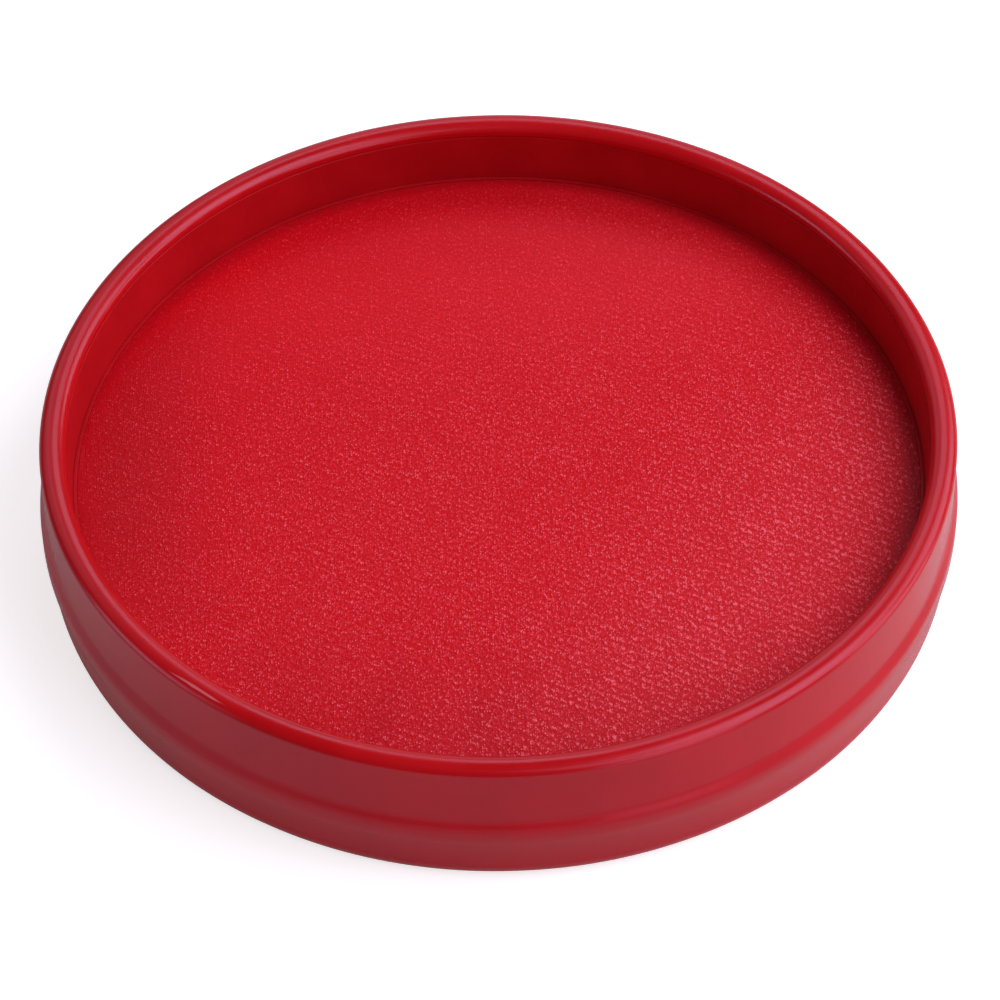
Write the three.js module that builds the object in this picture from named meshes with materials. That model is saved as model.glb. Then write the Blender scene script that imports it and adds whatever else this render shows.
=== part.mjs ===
// Round ink pad in a red enamelled tin, open, without its lid.
// Millimetres, +Z up. The origin is the middle of the underside, where the tin rests on a table.
//
// From the outside in: a drawn tin dish with a lid-stop bead and an inward-rolled rim, a moulded tray
// held under that roll, and a pad that lifts out of the tray. The pad is a board, a felt that stores
// the ink, a gauze layer and a cloth drawn over them all, with a hoop pressed round its edge.

import * as THREE from 'three';

// Tin, outside sizes
const RIM_RADIUS = 40.0;
const TIN_HEIGHT = 14.0;
const SHEET = 0.3;
const CURL_WIDTH = 2.25;
const CURL_DEPTH = 1.4;
const CURL_SWEEP = 285;

// Lid-stop bead pressed outwards from the wall: a short step up, a flat crest and a longer slope back
const BEAD_FOOT = 4.8;
const BEAD_STEP = 0.5;
const BEAD_CREST = 1.3;
const BEAD_SLOPE = 1.4;
const BEAD_PROUD = 0.46;

// Foot of the tin, the flat ring that it stands on and the panel pressed up inside that ring
const FOOT_DRAW_IN = 0.06;
const FOOT_CORNER = 1.8;
const REST_RING_WIDTH = 4.15;
const PANEL_RISE = 0.5;
const PANEL_SLOPE = 0.7;

// Ink tray
const TRAY_WALL = 1.0;
const TRAY_FLOOR = 0.9;
const TRAY_LIP_DEPTH = 0.8;
const TRAY_EDGE = 0.2;

// Layers of the pad
const BOARD = 0.9;
const FELT = 3.2;
const GAUZE = 0.6;
const CLOTH = 0.35;
const CROWN = 0.55;
const CROWN_POWER = 3;
const SHOULDER = 0.5;
const HEM_WIDTH = 4.6;
const REBATE_SPARE = 1.5;

// Hoop round the pad
const HOOP_WALL = 0.4;
const HOOP_FOOT = 0.35;
const HOOP_FOOT_WIDTH = 3.0;

// Clearances
const TRAY_PLAY = 0.15;
const PAD_PLAY = 0.15;
const LAYER_PLAY = 0.1;

// Fineness of the turned outlines, as steps round the axis and along each curve
const AROUND = 64;
const CORNER_STEPS = 4;
const BEAD_STEPS = 3;
const CURL_STEPS = 19;
const INNER_CURL_STEPS = 10;
const EDGE_STEPS = 3;
const CROWN_SHARES = [0, 0.38, 0.64, 0.83, 0.95];

// Heights of the stack, from the table up
const curlZ = TIN_HEIGHT - CURL_DEPTH / 2;
const crestFoot = BEAD_FOOT + BEAD_STEP;
const crestTop = crestFoot + BEAD_CREST;
const beadTop = crestTop + BEAD_SLOPE;
const trayBase = PANEL_RISE + SHEET;
const trayFloorTop = trayBase + TRAY_FLOOR;
const trayTop = curlZ - CURL_DEPTH / 2 - TRAY_PLAY;
const hemBottom = trayFloorTop + HOOP_FOOT + LAYER_PLAY;
const hemTop = hemBottom + CLOTH;
const boardUnderside = hemTop + LAYER_PLAY;
const boardTop = boardUnderside + BOARD;
const feltBottom = boardTop + LAYER_PLAY;
const feltEdge = feltBottom + FELT;
const gauzeBottomEdge = feltEdge + LAYER_PLAY;
const gauzeTopEdge = gauzeBottomEdge + GAUZE;
const clothUndersideEdge = gauzeTopEdge + LAYER_PLAY;
const padEdge = clothUndersideEdge + CLOTH;

// Radii, from the rim in
const beadRadius = RIM_RADIUS + BEAD_PROUD;
const footRadius = RIM_RADIUS - FOOT_DRAW_IN;
const footCentre = footRadius - FOOT_CORNER;
const panelFoot = footCentre - REST_RING_WIDTH;
const panelRadius = panelFoot - PANEL_SLOPE;
const curlRadius = RIM_RADIUS - CURL_WIDTH / 2;
const wellRadius = RIM_RADIUS - CURL_WIDTH;
const trayOuterRadius = wellRadius + TRAY_WALL;
const hoopRadius = wellRadius - PAD_PLAY;
const clothRadius = hoopRadius - HOOP_WALL - LAYER_PLAY;
const clothInnerRadius = clothRadius - CLOTH;
const layerRadius = clothInnerRadius - LAYER_PLAY;
const crownRadius = clothRadius - SHOULDER;
const hemEndRadius = clothRadius - HEM_WIDTH;
const bossRadius = hemEndRadius - REBATE_SPARE;

// Outside radius of the tin's wall at a height.
function wallRadius(z) {
  if (z < crestFoot) {
    return THREE.MathUtils.lerp(footRadius, beadRadius, THREE.MathUtils.smoothstep(z, BEAD_FOOT, crestFoot));
  }
  return THREE.MathUtils.lerp(beadRadius, RIM_RADIUS, THREE.MathUtils.smoothstep(z, crestTop, beadTop));
}

// Rise of the pad's top over its edge at a radius.
function crownRise(radius) {
  return CROWN * (1 - Math.min(radius / crownRadius, 1) ** CROWN_POWER);
}

// Points of an ellipse in the profile plane, between two angles in degrees.
function arc(cx, cz, rx, rz, from, to, steps) {
  const points = [];
  for (let i = 0; i <= steps; i += 1) {
    const angle = THREE.MathUtils.degToRad(from + ((to - from) * i) / steps);
    points.push([cx + rx * Math.cos(angle), cz + rz * Math.sin(angle)]);
  }
  return points;
}

// Crowned line from the axis to a radius, whose rim lies at edgeZ.
function crownLine(radius, edgeZ) {
  const line = CROWN_SHARES.map((share) => [share * crownRadius, edgeZ + crownRise(share * crownRadius)]);
  line.push([radius, edgeZ]);
  return line;
}

// A solid turned about the tin's axis. The profile runs from low to high on its outer side.
function turned(name, profile, material) {
  const points = profile.map(([r, z]) => new THREE.Vector2(r, z));
  const geometry = new THREE.LatheGeometry(points, AROUND);
  geometry.rotateX(Math.PI / 2);
  const mesh = new THREE.Mesh(geometry, material);
  mesh.name = name;
  return mesh;
}

// A ring turned about the axis, whose profile closes on itself.
function turnedRing(name, profile, material) {
  return turned(name, [...profile, profile[0]], material);
}

// Heights in even steps from one to another, both included.
function heights(from, to, steps) {
  return Array.from({ length: steps + 1 }, (_, i) => THREE.MathUtils.lerp(from, to, i / steps));
}

// Points of the wall from the bead's foot to its top, set in by the sheet on the inner side.
function wallLine(inset) {
  const levels = [...heights(BEAD_FOOT, crestFoot, BEAD_STEPS), ...heights(crestTop, beadTop, BEAD_STEPS)];
  return levels.map((z) => [wallRadius(z) - inset, z]);
}

// Drawn tin dish: panelled floor, rounded foot, beaded wall and a rim rolled inwards.
function baseShell(material) {
  const corner = [footCentre, FOOT_CORNER];
  const outerCurl = [CURL_WIDTH / 2, CURL_DEPTH / 2];
  const innerCurl = [outerCurl[0] - SHEET, outerCurl[1] - SHEET];
  const innerCorner = FOOT_CORNER - SHEET;
  return turned('base_shell', [
    [0, PANEL_RISE],
    [panelRadius, PANEL_RISE],
    [panelFoot, 0],
    ...arc(...corner, FOOT_CORNER, FOOT_CORNER, -90, 0, CORNER_STEPS),
    ...wallLine(0),
    ...arc(curlRadius, curlZ, ...outerCurl, 0, CURL_SWEEP, CURL_STEPS),
    ...arc(curlRadius, curlZ, ...innerCurl, CURL_SWEEP, 0, INNER_CURL_STEPS),
    ...wallLine(SHEET).reverse(),
    ...arc(...corner, innerCorner, innerCorner, 0, -90, CORNER_STEPS),
    [panelFoot, SHEET],
    [panelRadius, PANEL_RISE + SHEET],
    [0, PANEL_RISE + SHEET],
  ], material);
}

// Moulded cup that keeps the ink off the tin. Its lip fills the tin under the rolled rim.
function inkTray(material) {
  const trayFoot = Math.min(trayOuterRadius, footCentre);
  const chamfer = trayOuterRadius - trayFoot;
  const lipFoot = trayTop - TRAY_LIP_DEPTH;
  const lipRadius = Math.min(wallRadius(lipFoot), wallRadius(trayTop)) - SHEET - TRAY_PLAY;
  return turned('ink_tray', [
    [0, trayBase],
    [trayFoot, trayBase],
    [trayOuterRadius, trayBase + chamfer],
    [trayOuterRadius, lipFoot - (lipRadius - trayOuterRadius)],
    [lipRadius, lipFoot],
    [lipRadius, trayTop],
    [wellRadius + TRAY_EDGE, trayTop],
    [wellRadius, trayTop - TRAY_EDGE],
    [wellRadius, trayFloorTop],
    [0, trayFloorTop],
  ], material);
}

// Stiff disc under the felt. Its boss stands on the tray, and its rebate takes the cloth's hem.
function padBoard(material) {
  return turned('pad_board', [
    [0, trayFloorTop],
    [bossRadius, trayFloorTop],
    [bossRadius, boardUnderside],
    [layerRadius, boardUnderside],
    [layerRadius, boardTop],
    [0, boardTop],
  ], material);
}

// Thick felt disc that stores the ink, crowned on top.
function reservoirFelt(material) {
  return turned('reservoir_felt', [
    [0, feltBottom],
    [layerRadius, feltBottom],
    ...crownLine(layerRadius, feltEdge).reverse(),
  ], material);
}

// Thin open layer that spreads the ink under the cloth.
function gauzeLayer(material) {
  return turned('gauze_layer', [
    ...crownLine(layerRadius, gauzeBottomEdge),
    ...crownLine(layerRadius, gauzeTopEdge).reverse(),
  ], material);
}

// Cloth skin over the top, down the side and under the board, where its hem ends short of the boss.
function inkCloth(material) {
  return turned('ink_cloth', [
    ...crownLine(clothInnerRadius, clothUndersideEdge),
    [clothInnerRadius, hemTop],
    [hemEndRadius, hemTop],
    [hemEndRadius, hemBottom],
    [clothInnerRadius, hemBottom],
    [clothRadius, hemBottom + CLOTH],
    ...arc(crownRadius, padEdge - SHOULDER, SHOULDER, SHOULDER, 0, 90, EDGE_STEPS),
    ...crownLine(crownRadius, padEdge).slice(0, -1).reverse(),
  ], material);
}

// Hoop pressed round the pad: its foot turns in under the hem, and its top is level with the cloth's edge.
function clothHoop(material) {
  const innerRadius = hoopRadius - HOOP_WALL;
  const round = HOOP_WALL / 2;
  return turnedRing('cloth_hoop', [
    [hoopRadius - HOOP_FOOT_WIDTH, trayFloorTop],
    [hoopRadius, trayFloorTop],
    ...arc(hoopRadius - round, padEdge - round, round, round, 0, 180, EDGE_STEPS),
    [innerRadius, trayFloorTop + HOOP_FOOT],
    [hoopRadius - HOOP_FOOT_WIDTH, trayFloorTop + HOOP_FOOT],
  ], material);
}

const enamel = new THREE.MeshStandardMaterial({ color: 0xb8121f, roughness: 0.22, metalness: 0.0 });
const trayPlastic = new THREE.MeshStandardMaterial({ color: 0xa90f1b, roughness: 0.35, metalness: 0.0 });
const boardPlastic = new THREE.MeshStandardMaterial({ color: 0x9a8f86, roughness: 0.7, metalness: 0.0 });
const inkedFelt = new THREE.MeshStandardMaterial({ color: 0x8e0c18, roughness: 0.95, metalness: 0.0 });
const inkedGauze = new THREE.MeshStandardMaterial({ color: 0xa31320, roughness: 0.9, metalness: 0.0 });
const inkedCloth = new THREE.MeshStandardMaterial({ color: 0xc41a28, roughness: 0.55, metalness: 0.0 });
const hoopPlastic = new THREE.MeshStandardMaterial({ color: 0xb0101c, roughness: 0.3, metalness: 0.0 });

const inkPad = new THREE.Group();
inkPad.add(
  baseShell(enamel),
  inkTray(trayPlastic),
  padBoard(boardPlastic),
  reservoirFelt(inkedFelt),
  gauzeLayer(inkedGauze),
  inkCloth(inkedCloth),
  clothHoop(hoopPlastic),
);

export default inkPad;
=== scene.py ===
"""Studio model of a round ink pad: a red enamelled tin, open, with its lift-out pad.

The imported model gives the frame. Sizes are in millimetres until they reach a mesh, which is in metres.
The camera looks down at the tin from the front, at about 47 degrees.
"""

from __future__ import annotations

import logging
import math
from collections.abc import Iterator, Sequence
from contextlib import contextmanager
from dataclasses import dataclass
from enum import Enum
from functools import cache
from typing import Any

import bpy
import numpy as np
from mathutils import Matrix, Vector


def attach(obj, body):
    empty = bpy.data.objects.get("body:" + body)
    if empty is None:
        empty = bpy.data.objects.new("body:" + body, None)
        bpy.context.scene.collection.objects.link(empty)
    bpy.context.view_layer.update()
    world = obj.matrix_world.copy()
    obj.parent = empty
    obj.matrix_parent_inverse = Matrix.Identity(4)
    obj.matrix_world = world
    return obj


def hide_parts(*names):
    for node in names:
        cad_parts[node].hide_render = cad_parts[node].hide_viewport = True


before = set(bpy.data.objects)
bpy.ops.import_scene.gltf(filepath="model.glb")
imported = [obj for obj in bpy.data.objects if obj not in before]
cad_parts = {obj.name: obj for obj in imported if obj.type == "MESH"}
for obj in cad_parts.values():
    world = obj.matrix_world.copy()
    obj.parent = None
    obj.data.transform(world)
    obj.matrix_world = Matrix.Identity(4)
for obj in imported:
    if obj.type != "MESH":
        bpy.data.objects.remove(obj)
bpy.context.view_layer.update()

# Metres in a millimetre, a length that counts as none, the steps of a vertex group's weights, and the UV map
# of the cut cloth with its millimetres to the unit.
MM = 0.001
TINY = 1e-6
WEIGHT_STEPS = 50
CUT_MAP = "cut"
CHART = 100.0

Point = tuple[float, float]
Triple = tuple[float, float, float]
Band = tuple[float, float, float, float]
Colour = tuple[float, float, float, float]
Socket = bpy.types.NodeSocket
Tree = bpy.types.NodeTree
Thing = bpy.types.Object

log = logging.getLogger("ink_pad")


class Body(Enum):
    """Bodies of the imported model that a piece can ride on."""

    TIN = "tin"
    PAD = "pad"


class Slot(Enum):
    """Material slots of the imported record."""

    ENAMEL = "tin_enamel"
    TRAY = "tray_plastic"
    BOARD = "board_plastic"
    FELT = "inked_felt"
    GAUZE = "inked_gauze"
    CLOTH = "inked_cloth"
    HOOP = "hoop_plastic"


def deselect_all() -> None:
    """Deselects every object, so that an operator acts on nothing by chance."""
    bpy.ops.object.select_all(action="DESELECT")


def pick(thing: Thing) -> None:
    """Makes one object the only selected one and the active one.

    Args:
        thing: The object to pick.
    """
    deselect_all()
    thing.select_set(True)
    bpy.context.view_layer.objects.active = thing


@contextmanager
def editing(thing: Thing) -> Iterator[Thing]:
    """Opens a mesh object in edit mode with all of it selected, and closes it again.

    Args:
        thing: The mesh object to edit.

    Yields:
        The same object, in edit mode.
    """
    pick(thing)
    bpy.ops.object.mode_set(mode="EDIT")
    bpy.ops.mesh.select_all(action="SELECT")
    try:
        yield thing
    finally:
        bpy.ops.object.mode_set(mode="OBJECT")


def apply_modifiers(thing: Thing) -> None:
    """Applies every modifier of an object, in its order.

    Args:
        thing: The object.
    """
    pick(thing)
    for name in [modifier.name for modifier in thing.modifiers]:
        bpy.ops.object.modifier_apply(modifier=name)


def read_points(thing: Thing) -> np.ndarray:
    """Reads the vertex places of a mesh object.

    Args:
        thing: The mesh object.

    Returns:
        One row a vertex, in metres.
    """
    spots = np.zeros(len(thing.data.vertices) * 3, np.float32)
    thing.data.vertices.foreach_get("co", spots)
    return spots.reshape(-1, 3).astype(float)


def write_points(thing: Thing, spots: np.ndarray) -> None:
    """Sets the vertex places of a mesh object, in metres."""
    thing.data.vertices.foreach_set("co", spots.astype(np.float32).ravel())
    thing.data.update()


def weigh(thing: Thing, name: str, weights: np.ndarray) -> None:
    """Adds a vertex group with a weight for each vertex.

    Args:
        thing: The mesh object.
        name: The group's name.
        weights: One weight a vertex, from 0 to 1.
    """
    group = thing.vertex_groups.new(name=name)
    steps = np.round(weights * WEIGHT_STEPS).astype(int)
    for step in np.unique(steps[steps > 0]):
        group.add(np.flatnonzero(steps == step).tolist(), float(step) / WEIGHT_STEPS, "REPLACE")


def ease(start: float, end: float, share: float) -> float:
    """Value part of the way from one to another, with a level start and a level end."""
    return start + (end - start) * share * share * (3 - 2 * share)


def arc(centre: Point, radii: Point, start: float, end: float, steps: int, squarer: bool = False) -> list[Point]:
    """Points along an ellipse in the section plane.

    Args:
        centre: Radius and height of the ellipse's centre.
        radii: Half width and half height.
        start: First angle in degrees, from the outward direction towards up.
        end: Last angle in degrees.
        steps: Number of steps between the two.
        squarer: Whether its lower inner quarter is squarer than an ellipse.

    Returns:
        The points, ends included.
    """
    points = []
    for angle in np.radians(np.linspace(start, end, steps + 1)):
        across, up = math.cos(angle), math.sin(angle)
        if squarer and max(across, up) < -TINY:
            across, up = -math.sqrt(-across), -math.sqrt(-up)
        points.append((centre[0] + radii[0] * across, centre[1] + radii[1] * up))
    return points


def waver(thing: Thing, depth: float, span: float) -> None:
    """Gives a surface the slight unevenness of the real one.

    Args:
        thing: The object.
        depth: How far a point moves at most, in millimetres.
        span: Distance from one swell to the next, in millimetres.
    """
    swell = bpy.data.textures.new(f"{thing.name}_swell", "CLOUDS")
    swell.noise_scale = span * MM
    swell.noise_depth = 1
    modifier = thing.modifiers.new("swell", "DISPLACE")
    modifier.texture = swell
    modifier.texture_coords = "LOCAL"
    modifier.mid_level = 0.5
    modifier.strength = 2 * depth * MM
    apply_modifiers(thing)


class Sketch:
    """Adds and joins the nodes of one tree in few words."""

    def __init__(self, tree: Tree) -> None:
        """Starts on a tree, whose nodes are removed first.

        Args:
            tree: The material's, world's or group's tree.
        """
        self.tree = tree
        tree.nodes.clear()

    def add(self, kind: str, inputs: dict[str | int, Any] | None = None, **settings: Any) -> bpy.types.Node:
        """Adds a node.

        Args:
            kind: The node's type, without the words ShaderNode in front.
            inputs: What goes into its sockets, by name or number.
            **settings: Values of its own settings.

        Returns:
            The node.
        """
        node = self.tree.nodes.new(kind if kind.startswith("NodeGroup") else f"ShaderNode{kind}")
        for name, value in settings.items():
            setattr(node, name, value)
        for name, value in (inputs or {}).items():
            if isinstance(value, Socket):
                self.tree.links.new(value, node.inputs[name])
            else:
                node.inputs[name].default_value = value
        return node

    def math(self, operation: str, *values: Any) -> Socket:
        """Adds a Math node.

        Args:
            operation: The operation's name.
            *values: As many values or sockets as the operation has.

        Returns:
            Its result.
        """
        return self.add("Math", dict(enumerate(values)), operation=operation).outputs[0]

    def times(self, *values: Any) -> Socket:
        """Product of two values, plus the third where there is one."""
        return self.math("MULTIPLY" if len(values) == 2 else "MULTIPLY_ADD", *values)

    def vector(self, operation: str, *values: Any) -> Socket:
        """Adds a Vector Math node.

        Args:
            operation: The operation's name.
            *values: As many vectors or sockets as the operation has.

        Returns:
            Its result, a value for LENGTH and DOT_PRODUCT and otherwise a vector.
        """
        outputs = self.add("VectorMath", dict(enumerate(values)), operation=operation).outputs
        return outputs["Value" if operation in ("LENGTH", "DOT_PRODUCT") else "Vector"]

    def blend(self, share: Any, first: Any, second: Any) -> Socket:
        """Mixes two colours.

        Args:
            share: How much of the second, from 0 to 1.
            first: Colour at 0.
            second: Colour at 1.

        Returns:
            The mixed colour.
        """
        return self.add("Mix", {0: share, 6: first, 7: second}, data_type="RGBA").outputs[2]

    def band(self, value: Any, low: float, high: float, to_low: float = 0.0, to_high: float = 1.0) -> Socket:
        """Maps one range of values to another, held at both ends.

        Args:
            value: The value or socket to map.
            low: Start of the range.
            high: End of the range.
            to_low: What the start becomes.
            to_high: What the end becomes.

        Returns:
            The mapped value.
        """
        inputs = {0: value, 1: low, 2: high, 3: to_low, 4: to_high}
        return self.add("MapRange", inputs, interpolation_type="SMOOTHSTEP").outputs[0]

    def group(self, tree: Tree, inputs: dict[str | int, Any]) -> Any:
        """Places a node group and gives its outputs."""
        return self.add("Group", inputs, node_tree=tree).outputs

    def patches(self, place: Socket, size: float, detail: float) -> Socket:
        """Soft patches of a size in millimetres, from 0 to 1."""
        return self.group(mottle(), {"Vector": place, "Size": size, "Detail": detail})[0]

    def first(self, colour: Socket) -> Socket:
        """First channel of a colour."""
        return self.add("SeparateColor", {0: colour}).outputs[0]

    def place(self) -> Socket:
        """Object coordinates in millimetres."""
        place = self.add("TexCoord").outputs["Object"]
        return self.add("Mapping", {"Vector": place, "Scale": (1 / MM, 1 / MM, 1 / MM)}).outputs[0]

    def rays(self) -> tuple[Socket, Socket]:
        """Tells the kinds of ray apart.

        Returns:
            1 on a ray that the camera sees by, straight or through something, and 1 on one that a gloss mirrors.
        """
        path = self.add("LightPath").outputs
        return self.math("MAXIMUM", path["Is Camera Ray"], path["Is Transmission Ray"]), path["Is Glossy Ray"]

    def skin(self, colour: Any, rough: Any, relief: Socket, depth: float, index: float, gloss: float) -> None:
        """Ends a material in a shader with a clear skin, which red gives a slight mauve in its highlights.

        Args:
            colour: The base colour.
            rough: The roughness.
            relief: Height of the surface's grain.
            depth: Depth of that grain in millimetres.
            index: Refractive index.
            gloss: Specular level, 0.5 being what the index alone gives.
        """
        bump = self.add("Bump", {"Height": relief, "Distance": depth * MM, "Strength": 1.0})
        inputs = {
            "Base Color": colour,
            "Roughness": rough,
            "Normal": bump.outputs[0],
            "IOR": index,
            "Specular IOR Level": gloss,
            "Specular Tint": (1, 0.75, 1, 1),
        }
        shader = self.add("BsdfPrincipled", inputs)
        self.add("OutputMaterial", {"Surface": shader.outputs[0]})


def open_group(name: str, inputs: dict[str, float | None], outputs: Sequence[str]) -> tuple[Sketch, Any]:
    """Starts the node group of a shared effect, with its sockets.

    Args:
        name: The group's name.
        inputs: Default value of each input by name, or None for a vector.
        outputs: Names of the outputs, which are all values.

    Returns:
        The group's sketch, and the sockets that give its inputs.
    """
    tree = bpy.data.node_groups.new(name, "ShaderNodeTree")
    for label, default in inputs.items():
        kind = "NodeSocketVector" if default is None else "NodeSocketFloat"
        socket = tree.interface.new_socket(name=label, in_out="INPUT", socket_type=kind)
        if default is not None:
            socket.default_value = default
    for label in outputs:
        tree.interface.new_socket(name=label, in_out="OUTPUT", socket_type="NodeSocketFloat")
    sketch = Sketch(tree)
    return sketch, sketch.add("NodeGroupInput").outputs


@cache
def mottle() -> Tree:
    """Soft patches of a given size.

    Returns:
        The group, whose value runs from 0 to 1.
    """
    sketch, given = open_group("mottle", {"Vector": None, "Size": 5.0, "Detail": 2.0}, ["Value"])
    scale = sketch.math("DIVIDE", 1.0, given["Size"])
    noise = sketch.add("TexNoise", {"Vector": given["Vector"], "Scale": scale, "Detail": given["Detail"]})
    sketch.add("NodeGroupOutput", {"Value": sketch.band(noise.outputs[0], 0.3, 0.7)})
    return sketch.tree


@cache
def specks() -> Tree:
    """Scattered small round specks of dust.

    Returns:
        The group, whose mask is 1 on a speck and 0 off it.
    """
    sketch, given = open_group("specks", {"Vector": None, "Spacing": 4.0, "Size": 0.1, "Share": 0.3}, ["Mask"])
    scale = sketch.math("DIVIDE", 1.0, given["Spacing"])
    cells = sketch.add("TexVoronoi", {"Vector": given["Vector"], "Scale": scale}).outputs
    near = sketch.math("LESS_THAN", cells["Distance"], sketch.math("DIVIDE", given["Size"], given["Spacing"]))
    chosen = sketch.math("LESS_THAN", sketch.first(cells["Color"]), given["Share"])
    sketch.add("NodeGroupOutput", {"Mask": sketch.times(near, chosen)})
    return sketch.tree


@cache
def weave() -> Tree:
    """Relief of a fine wet cloth: beads in rows that wander, each of its own size, under fluff and small nubs.

    Returns:
        The group, with the relief's height and how far its tops glint.
    """
    values = {"Yarns": None, "Tufts": None, "Stray": 0.2, "Rows": 0.6, "Fluff": 1.0}
    sketch, given = open_group("weave", values, ["Height", "Glint"])
    yarns, tufts = given["Yarns"], given["Tufts"]
    wander = sketch.add("TexNoise", {"Vector": tufts, "Scale": 0.22, "Detail": 3.0}).outputs["Color"]
    push = sketch.vector("MULTIPLY", sketch.vector("SUBTRACT", wander, (0.5, 0.5, 0.5)), given["Stray"])
    place = sketch.vector("ADD", yarns, push)
    count = sketch.add("SeparateXYZ", {0: place}).outputs
    waves = [sketch.math("SINE", sketch.times(count[axis], math.pi)) for axis in "XY"]
    across, along = (sketch.math("POWER", sketch.math("ABSOLUTE", wave), 2.0) for wave in waves)
    knuckle = sketch.times(along, sketch.times(across, 0.65, 0.35))
    cell = sketch.vector("FLOOR", place)
    chance = sketch.add("TexWhiteNoise", {"Vector": cell}, noise_dimensions="3D").outputs["Value"]
    beads = sketch.times(knuckle, sketch.times(chance, 0.75, 0.25))
    noise = {"Vector": tufts, "Scale": 0.75, "Detail": 2.0, "Roughness": 0.7}
    fluff = sketch.add("TexNoise", noise).outputs[0]
    nubs = sketch.add("TexVoronoi", {"Vector": tufts, "Scale": 0.95}, voronoi_dimensions="2D").outputs
    dots = sketch.times(sketch.band(nubs["Distance"], 0.55, 0.05), sketch.first(nubs["Color"]))
    mixed = sketch.times(fluff, 0.9, sketch.times(dots, 0.34, -0.493))
    height = sketch.times(beads, given["Rows"], sketch.times(mixed, given["Fluff"]))
    sketch.add("NodeGroupOutput", {"Height": height, "Glint": sketch.band(height, 0.35, 1.2)})
    return sketch.tree


@cache
def ragged_spot() -> Tree:
    """A small ragged spot at the origin of its coordinates, one unit in radius.

    Returns:
        The group, whose mask is 1 on the spot and 0 off it.
    """
    sketch, given = open_group("ragged_spot", {"Vector": None}, ["Mask"])
    ragged = sketch.add("TexNoise", {"Vector": given["Vector"], "Scale": 1.7, "Detail": 3.0}).outputs[0]
    uneven = sketch.math("SUBTRACT", ragged, 0.5)
    edge = sketch.times(uneven, 1.1, sketch.vector("LENGTH", given["Vector"]))
    sketch.add("NodeGroupOutput", {"Mask": sketch.band(edge, 1.0, 0.6)})
    return sketch.tree


@dataclass(frozen=True)
class Spot:
    """Place of a small mark, its half lengths and its turn about the vertical, in millimetres and degrees."""

    place: Triple
    reach: Triple
    turned: float = 0.0

    def local(self, sketch: Sketch, place: Socket) -> Socket:
        """Coordinates that run from the spot's middle, one unit to each half length.

        Args:
            sketch: The material's sketch.
            place: The coordinates to start from, in millimetres.

        Returns:
            The spot's own coordinates.
        """
        turned = (0, 0, math.radians(self.turned))
        inputs = {"Vector": place, "Location": self.place, "Rotation": turned, "Scale": self.reach}
        return sketch.add("Mapping", inputs, vector_type="TEXTURE").outputs[0]


@dataclass(frozen=True)
class Finish:
    """Finish of a piece, made as a node material.

    The roughness of a finish stays on one side of 0.274, because a render's noise filter draws a line where
    it crosses that.
    """

    name: str

    def make(self) -> bpy.types.Material:
        """Builds the material.

        Returns:
            The material.
        """
        material = bpy.data.materials.new(self.name)
        material.use_nodes = True
        self.paint(Sketch(material.node_tree))
        return material

    def paint(self, sketch: Sketch) -> None:
        """Adds the nodes to the material's sketch, as each kind of finish does in its own way."""
        raise NotImplementedError


@dataclass(frozen=True)
class Enamel(Finish):
    """Gloss red stoved enamel, with faint orange peel, dust, a pale fleck and a painted highlight streak on the rim.
    """

    name: str = "red_enamel"
    colour: Colour = (0.55, 0.0035, 0.0065, 1)
    deep: Colour = (0.5, 0.0026, 0.005, 1)
    dust: Colour = (0.8, 0.4, 0.4, 1)
    dust_share: float = 0.2
    highlight_and_fleck_red: Colour = (0.9, 0.32, 0.36, 1)
    highlight_and_fleck_share: float = 0.4
    patch_size: float = 9.0
    least_rough: float = 0.22
    most_rough: float = 0.27
    index: float = 1.5
    gloss: float = 0.39
    peel_size: float = 0.55
    peel_depth: float = 0.0012
    # First a painted highlight streak along the rim's outer edge, then a pale fleck on the rim.
    highlight_and_fleck: tuple[Spot, ...] = (
        Spot((-25.1, -30.4, 13.9), (3.2, 0.13, 0.6), -39.5),
        Spot((-39.2, -9.6, 13.5), (0.2, 0.3, 0.3)),
    )

    def paint(self, sketch: Sketch) -> None:
        """Lays the red in soft patches over its peel, then the dust, a painted highlight streak along the rim's outer
        edge and a pale fleck.

        Args:
            sketch: The material's sketch.
        """
        place = sketch.place()
        patches = sketch.patches(place, self.patch_size, 3.0)
        peel = sketch.patches(place, self.peel_size, 1.0)
        dust = sketch.group(specks(), {"Vector": place, "Spacing": 7.0, "Size": 0.09, "Share": 0.25})[0]
        red = sketch.blend(patches, self.deep, self.colour)
        red = sketch.blend(sketch.times(dust, self.dust_share), red, self.dust)
        # Lays the pale pink of the painted highlight streak and of the fleck.
        for spot in self.highlight_and_fleck:
            mark = sketch.group(ragged_spot(), {"Vector": spot.local(sketch, place)})[0]
            red = sketch.blend(sketch.times(mark, self.highlight_and_fleck_share), red, self.highlight_and_fleck_red)
        rough = sketch.band(patches, 0, 1, self.least_rough, self.most_rough)
        sketch.skin(red, rough, peel, self.peel_depth, self.index, self.gloss)


@dataclass(frozen=True)
class MouldedPlastic(Finish):
    """Smooth moulded plastic, with slight ripples and an ink film."""

    colour: Colour = (0.46, 0.005, 0.0085, 1)
    deep: Colour = (0.4, 0.0038, 0.007, 1)
    roughness: float = 0.3
    patch_size: float = 6.0
    ripple_size: float = 2.2
    ripple_depth: float = 0.01
    index: float = 1.45
    gloss: float = 0.16

    def paint(self, sketch: Sketch) -> None:
        """Lays the colour in soft patches over the ripples.

        Args:
            sketch: The material's sketch.
        """
        place = sketch.place()
        patches = sketch.patches(place, self.patch_size, 3.0)
        ripples = sketch.patches(place, self.ripple_size, 1.0)
        rough = sketch.band(patches, 0, 1, self.roughness * 0.93, self.roughness * 1.2)
        colour = sketch.blend(patches, self.deep, self.colour)
        sketch.skin(colour, rough, ripples, self.ripple_depth, self.index, self.gloss)


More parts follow.
